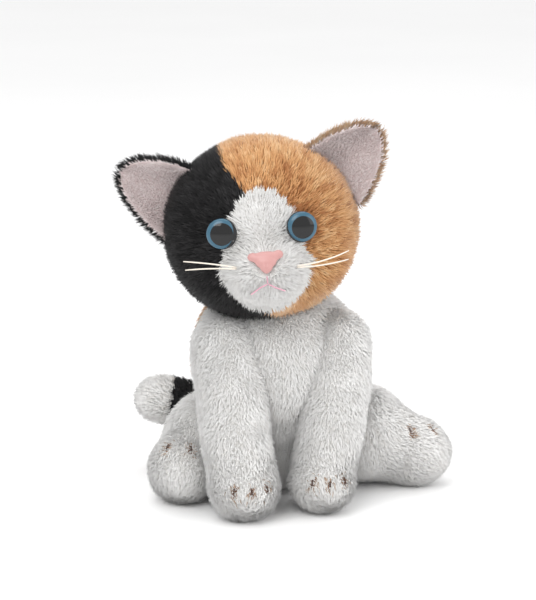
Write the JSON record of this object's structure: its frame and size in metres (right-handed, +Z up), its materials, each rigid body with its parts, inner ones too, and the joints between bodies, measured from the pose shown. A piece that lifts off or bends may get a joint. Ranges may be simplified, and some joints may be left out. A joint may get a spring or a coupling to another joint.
{
  "type": "plush cat",
  "caption": "Small sitting calico kitten plush, stuffed and weighted in the seat, with a neck that turns and nods and soft legs, ears and tail that flex at their seams.",
  "frame": {"origin": "centre of the flat seat that the kitten sits on", "axes": "+Z up, the kitten faces -Y, its right side is -X"},
  "size_m": [0.1348, 0.1103, 0.1517],
  "materials": {
    "ear_lining": "very short velour",
    "eye_black": "polished",
    "eye_blue": "painted",
    "eye_clear": "clear, polished",
    "nose_plastic": "moulded, satin gloss",
    "pellets": "polyethylene pellets",
    "plush_black": "short dense plush pile",
    "plush_orange": "short dense plush pile, airbrushed",
    "plush_white": "short dense plush pile",
    "polyester_fill": "loose fibre",
    "pouch_cloth": "plain weave",
    "thread_brown": "twisted thread",
    "thread_orange": "twisted thread",
    "thread_pink": "twisted thread",
    "washer_plastic": "moulded",
    "whisker_thread": "waxed cord"
  },
  "bodies": {
    "torso": {"back_closing_stitches": "thread_orange", "seat_pellet_pouch": "pouch_cloth", "seat_pellets": "pellets", "torso_base_panel": "plush_white", "torso_bib_panel": "plush_white", "torso_saddle_panel": "plush_orange", "torso_stuffing": "polyester_fill"},
    "ear_left": {"ear_back_left": "plush_orange", "ear_lining_left": "ear_lining"},
    "ear_right": {"ear_back_right": "plush_black", "ear_lining_right": "ear_lining"},
    "head": {"eye_back_left": "eye_black", "eye_back_right": "eye_black", "eye_iris_left": "eye_blue", "eye_iris_right": "eye_blue", "eye_lens_left": "eye_clear", "eye_lens_right": "eye_clear", "eye_pupil_left": "eye_black", "eye_pupil_right": "eye_black", "eye_washer_left": "washer_plastic", "eye_washer_right": "washer_plastic", "head_black_panel": "plush_black", "head_blaze_panel": "plush_white", "head_orange_panel": "plush_orange", "head_stuffing": "polyester_fill", "mouth_stitches": "thread_pink", "nose": "nose_plastic", "nose_washer": "washer_plastic", "whiskers_left": "whisker_thread", "whiskers_right": "whisker_thread"},
    "front_leg_left": {"front_leg_left_skin": "plush_white", "front_leg_left_stuffing": "polyester_fill", "front_leg_left_toe_stitches": "thread_brown"},
    "front_leg_right": {"front_leg_right_skin": "plush_white", "front_leg_right_stuffing": "polyester_fill", "front_leg_right_toe_stitches": "thread_brown"},
    "hind_leg_left": {"hind_leg_left_skin": "plush_white", "hind_leg_left_stuffing": "polyester_fill", "hind_leg_left_toe_stitches": "thread_brown"},
    "hind_leg_right": {"hind_leg_right_skin": "plush_white", "hind_leg_right_stuffing": "polyester_fill", "hind_leg_right_toe_stitches": "thread_brown"},
    "neck": {"neck_stuffing": "polyester_fill"},
    "tail": {"tail_band_skin": "plush_black", "tail_root_skin": "plush_orange", "tail_stuffing": "polyester_fill", "tail_tip_skin": "plush_white"}
  },
  "joints": [
    {"name": "neck_turn", "type": "hinge", "parent": "torso", "child": "neck", "pos_m": [-0.004, -0.007, 0.055], "axis": [0, 0, 1], "range_deg": [-15, 30], "stiffness_Nm_per_rad": 0.06},
    {"name": "head_nod", "type": "hinge", "parent": "neck", "child": "head", "pos_m": [-0.004, -0.007, 0.055], "axis": [1, 0, 0], "range_deg": [-10, 3], "stiffness_Nm_per_rad": 0.12},
    {"name": "ear_fold_left", "type": "hinge", "parent": "head", "child": "ear_left", "pos_m": [0.01614, -0.02153, 0.13299], "axis": [0.7361, -0.1431, -0.6615], "range_deg": [-15, 20], "stiffness_Nm_per_rad": 0.004},
    {"name": "ear_fold_right", "type": "hinge", "parent": "head", "child": "ear_right", "pos_m": [-0.04678, -0.0093, 0.12216], "axis": [0.3799, -0.0738, 0.9221], "range_deg": [-15, 20], "stiffness_Nm_per_rad": 0.004},
    {"name": "front_leg_swing_left", "type": "hinge", "parent": "torso", "child": "front_leg_left", "pos_m": [-0.004, -0.007, 0.055], "axis": [-1, 0, 0], "range_deg": [0, 12], "stiffness_Nm_per_rad": 0.03},
    {"name": "front_leg_swing_right", "type": "hinge", "parent": "torso", "child": "front_leg_right", "pos_m": [-0.004, -0.007, 0.055], "axis": [-1, 0, 0], "range_deg": [0, 6], "stiffness_Nm_per_rad": 0.03},
    {"name": "hind_leg_splay_left", "type": "hinge", "parent": "torso", "child": "hind_leg_left", "pos_m": [0.033, -0.004, 0.021], "axis": [0, 0, 1], "range_deg": [-20, 20], "stiffness_Nm_per_rad": 0.02},
    {"name": "hind_leg_splay_right", "type": "hinge", "parent": "torso", "child": "hind_leg_right", "pos_m": [-0.03, -0.001, 0.021], "axis": [0, 0, -1], "range_deg": [-8, 30], "stiffness_Nm_per_rad": 0.02},
    {"name": "tail_swing", "type": "hinge", "parent": "torso", "child": "tail", "pos_m": [-0.012, 0.031, 0.023], "axis": [0, 0, -1], "range_deg": [0, 60], "stiffness_Nm_per_rad": 0.01}
  ]
}
